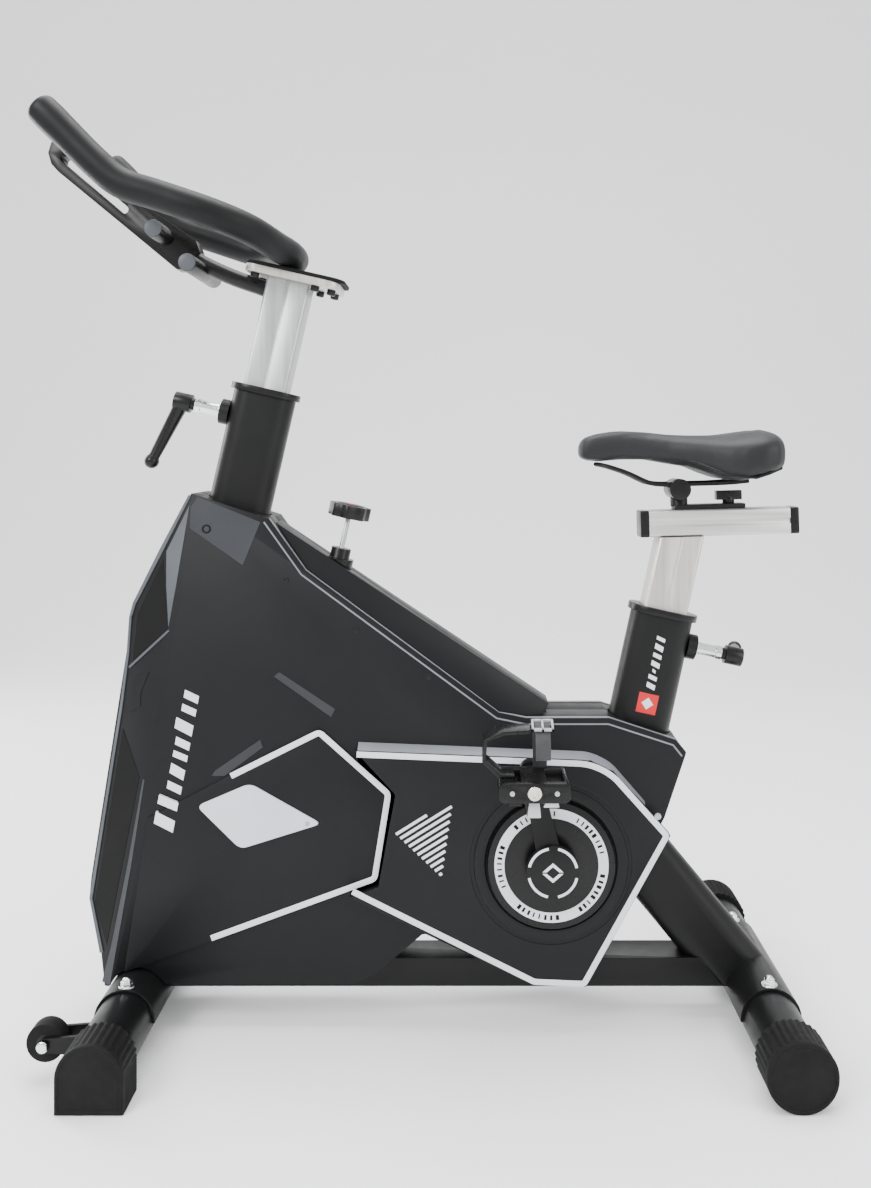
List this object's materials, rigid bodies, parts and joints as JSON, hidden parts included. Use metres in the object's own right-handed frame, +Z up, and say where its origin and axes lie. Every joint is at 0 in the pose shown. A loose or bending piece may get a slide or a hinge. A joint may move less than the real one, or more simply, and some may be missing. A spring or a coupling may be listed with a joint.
{
  "type": "indoor cycling exercise bike",
  "caption": "Indoor cycling bike with a shrouded front flywheel, belt drive, sliding posts, toe-cage pedals and horned handlebar.",
  "frame": {"origin": "centre of the object's box, on the floor", "axes": "+Z up, the handlebar is towards -X, the rider's left side is -Y"},
  "size_m": [1.1296, 0.54, 1.3352],
  "materials": {
    "frame_black": "satin black powder coat",
    "shroud_black": "matte black moulded plastic",
    "gloss_black": "semi-gloss black plastic",
    "black_rubber": "matte",
    "aluminium": "anodised, brushed along the length",
    "chrome": "polished",
    "steel": "turned",
    "cast_iron": "turned rim, painted web",
    "silver_badge": "silver grey, satin",
    "black_leather": "synthetic leather, satin"
  },
  "bodies": {
    "frame": {"front_stabiliser": "frame_black", "rear_stabiliser": "frame_black", "front_foot_cap_left": "black_rubber", "front_foot_cap_right": "black_rubber", "head_tube": "frame_black", "seat_tube": "frame_black", "rear_strut": "frame_black", "bottom_rail": "frame_black", "top_tube": "frame_black", "bottom_bracket_shell": "frame_black", "flywheel_plate_left": "steel", "flywheel_plate_right": "steel", "shroud_left": "shroud_black", "shroud_right": "shroud_black", "spine_cover": "shroud_black", "belt_cover_left": "shroud_black", "belt_cover_right": "shroud_black", "badge_plate": "silver_badge", "brake_collar": "gloss_black", "head_bush": "gloss_black", "seat_bush": "gloss_black", "belt": "black_rubber"},
    "rear_cap_left": {"rear_foot_cap_left": "black_rubber"},
    "rear_cap_right": {"rear_foot_cap_right": "black_rubber"},
    "roller_left": {"transport_wheel_left": "black_rubber"},
    "roller_right": {"transport_wheel_right": "black_rubber"},
    "cranks": {"crank_axle": "steel", "crank_disc": "gloss_black", "crank_left": "gloss_black", "crank_right": "gloss_black", "pedal_axle_left": "steel", "pedal_axle_right": "steel"},
    "left_pedal": {"pedal_left": "gloss_black", "toe_cage_left": "gloss_black", "toe_strap_left": "black_leather"},
    "right_pedal": {"pedal_right": "gloss_black", "toe_cage_right": "gloss_black", "toe_strap_right": "black_leather"},
    "wheel": {"flywheel": "cast_iron", "flywheel_shaft": "steel"},
    "brake": {"brake_rod": "chrome", "brake_pad": "black_leather"},
    "resistance_knob": {"brake_knob": "gloss_black"},
    "handlebar_assembly": {"handlebar_post": "aluminium", "bar_plate": "aluminium", "bar_pad": "black_rubber", "handlebar": "black_rubber", "centre_grip": "gloss_black"},
    "front_lever": {"front_clamp_lever": "gloss_black"},
    "seat_assembly": {"seat_post": "aluminium", "seat_rail": "aluminium", "rail_cap_front": "gloss_black", "rail_cap_rear": "gloss_black"},
    "seat_lever": {"seat_clamp_lever": "gloss_black"},
    "slider": {"saddle_slider": "gloss_black"},
    "slider_knob": {"saddle_knob": "gloss_black"},
    "saddle": {"saddle_clamp": "steel", "saddle_wire": "chrome", "saddle_base": "gloss_black", "saddle_pad": "black_leather"}
  },
  "joints": [
    {"name": "flywheel_spin", "type": "hinge", "parent": "frame", "child": "wheel", "pos_m": [-0.12775, 0, 0.3], "axis": [0, 1, 0], "continuous": true},
    {"name": "crank_spin", "type": "hinge", "parent": "frame", "child": "cranks", "pos_m": [0.18725, 0, 0.25], "axis": [0, 1, 0], "continuous": true},
    {"name": "left_pedal_spin", "type": "hinge", "parent": "cranks", "child": "left_pedal", "pos_m": [0.15562, -0.16, 0.39151], "axis": [0, 1, 0], "continuous": true},
    {"name": "right_pedal_spin", "type": "hinge", "parent": "cranks", "child": "right_pedal", "pos_m": [0.21888, 0.16, 0.10849], "axis": [0, 1, 0], "continuous": true},
    {"name": "handlebar_height", "type": "slide", "parent": "frame", "child": "handlebar_assembly", "axis": [0.2233, 0, 0.9748], "range_m": [-0.12, 0.06]},
    {"name": "front_lever_turn", "type": "hinge", "parent": "frame", "child": "front_lever", "pos_m": [-0.34671, 0, 0.91828], "axis": [0.9748, 0, -0.2233], "range_deg": [-60, 60]},
    {"name": "seat_height", "type": "slide", "parent": "frame", "child": "seat_assembly", "axis": [0.2147, 0, 0.9767], "range_m": [-0.09, 0.1]},
    {"name": "seat_lever_turn", "type": "hinge", "parent": "frame", "child": "seat_lever", "pos_m": [0.45076, 0, 0.54141], "axis": [0.9767, 0, -0.2147], "range_deg": [-90, 0]},
    {"name": "saddle_fore_aft", "type": "slide", "parent": "seat_assembly", "child": "slider", "axis": [0.9996, 0, 0.0272], "range_m": [-0.03, 0.03]},
    {"name": "slider_knob_turn", "type": "hinge", "parent": "slider", "child": "slider_knob", "pos_m": [0.46215, 0, 0.78178], "axis": [-0.0272, 0, 0.9996], "range_deg": [-180, 180]},
    {"name": "saddle_tilt", "type": "hinge", "parent": "slider", "child": "saddle", "pos_m": [0.38488, 0, 0.79067], "axis": [0, 1, 0], "range_deg": [-8, 8]},
    {"name": "brake_push", "type": "slide", "parent": "frame", "child": "brake", "axis": [-0.2147, 0, -0.9767], "range_m": [0, 0.0035], "stiffness_N_per_m": 2000, "springref_m": -0.005},
    {"name": "resistance_turn", "type": "hinge", "parent": "brake", "child": "resistance_knob", "pos_m": [-0.11275, 0, 0.757], "axis": [0.2147, 0, 0.9767], "range_deg": [-180, 180]},
    {"name": "left_roller_spin", "type": "hinge", "parent": "frame", "child": "roller_left", "pos_m": [-0.50075, -0.185, 0.054], "axis": [0, 1, 0], "continuous": true},
    {"name": "right_roller_spin", "type": "hinge", "parent": "frame", "child": "roller_right", "pos_m": [-0.50075, 0.185, 0.054], "axis": [0, 1, 0], "continuous": true},
    {"name": "left_rear_cap_turn", "type": "hinge", "parent": "frame", "child": "rear_cap_left", "pos_m": [0.49465, -0.24, 0.0468], "axis": [0, 1, 0], "range_deg": [-90, 90]},
    {"name": "right_rear_cap_turn", "type": "hinge", "parent": "frame", "child": "rear_cap_right", "pos_m": [0.49465, 0.24, 0.0468], "axis": [0, 1, 0], "range_deg": [-90, 90]}
  ],
  "couplings": [
    {"joint": "crank_spin", "follows": "flywheel_spin", "ratio": 0.30928}
  ]
}
